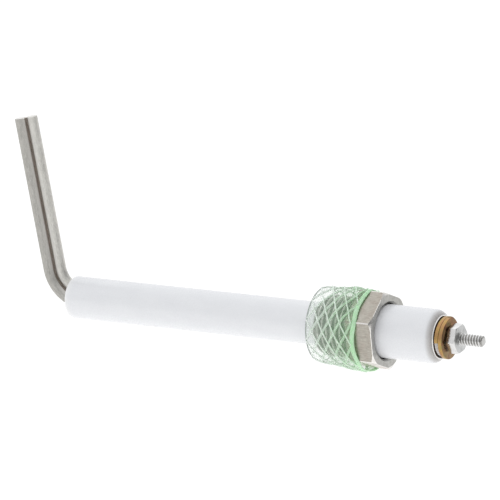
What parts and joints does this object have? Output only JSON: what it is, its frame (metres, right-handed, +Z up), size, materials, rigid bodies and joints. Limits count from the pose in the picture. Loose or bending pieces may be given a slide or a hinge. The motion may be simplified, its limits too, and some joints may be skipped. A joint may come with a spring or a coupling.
{
  "type": "ignition electrode",
  "caption": "Bent twin-rod spark electrode in a white ceramic insulator, with a threaded hexagon shell, a screw terminal and a green net sleeve over the thread.",
  "frame": {"origin": "on the insulator's axis, in the plane of the hexagon's seat face, at the mouth of the burner port", "axes": "+X along the insulator towards the screw terminal, +Z up, the way the electrode rods bend, parallel to the XZ plane"},
  "size_m": [0.1549, 0.0258, 0.0683],
  "materials": {
    "electrode_steel": "drawn heat-resisting steel, satin with fine marks along the rod",
    "inner_steel": "turned steel, hidden inside the insulator",
    "cement": "matt refractory cement",
    "bright_steel": "bright nickel plate",
    "glazed_ceramic": "white glazed alumina ceramic, glossy",
    "copper_gasket": "soft copper ring, hidden inside the shell",
    "shell_steel": "turned and drawn plain steel, slightly brown",
    "yellow_zinc": "yellow passivated zinc plate with a faint rainbow",
    "green_net": "clear pale green soft plastic with raised diamond ribs"
  },
  "bodies": {
    "electrode": {"electrode_rod_outer": "electrode_steel", "electrode_rod_inner": "electrode_steel", "rod_coupling": "inner_steel", "front_cement": "cement", "terminal_stud": "bright_steel", "insulator": "glazed_ceramic", "seat_gasket": "copper_gasket", "retaining_cement": "cement", "shell_body": "shell_steel"},
    "sleeve": {"thread_protector_sleeve": "green_net"},
    "flat_washer": {"terminal_flat_washer": "bright_steel"},
    "lock_washer": {"split_lock_washer": "yellow_zinc"},
    "nut": {"terminal_nut": "bright_steel"}
  },
  "joints": [
    {"name": "sleeve_slide", "type": "slide", "parent": "electrode", "child": "sleeve", "axis": [-1, 0, 0], "range_m": [0, 0.075]},
    {"name": "lock_washer_slide", "type": "slide", "parent": "electrode", "child": "lock_washer", "axis": [1, 0, 0], "range_m": [0, 0.007]},
    {"name": "nut_turn", "type": "hinge", "parent": "lock_washer", "child": "nut", "pos_m": [0.03095, 0, 0], "axis": [1, 0, 0], "range_deg": [0, 2800]},
    {"name": "flat_washer_slide", "type": "slide", "parent": "electrode", "child": "flat_washer", "axis": [1, 0, 0], "range_m": [0, 0.0036]}
  ],
  "couplings": [
    {"joint": "nut_turn", "follows": "lock_washer_slide", "rad_per_m": 6981.3},
    {"joint": "flat_washer_slide", "follows": "lock_washer_slide", "ratio": 0.5}
  ]
}
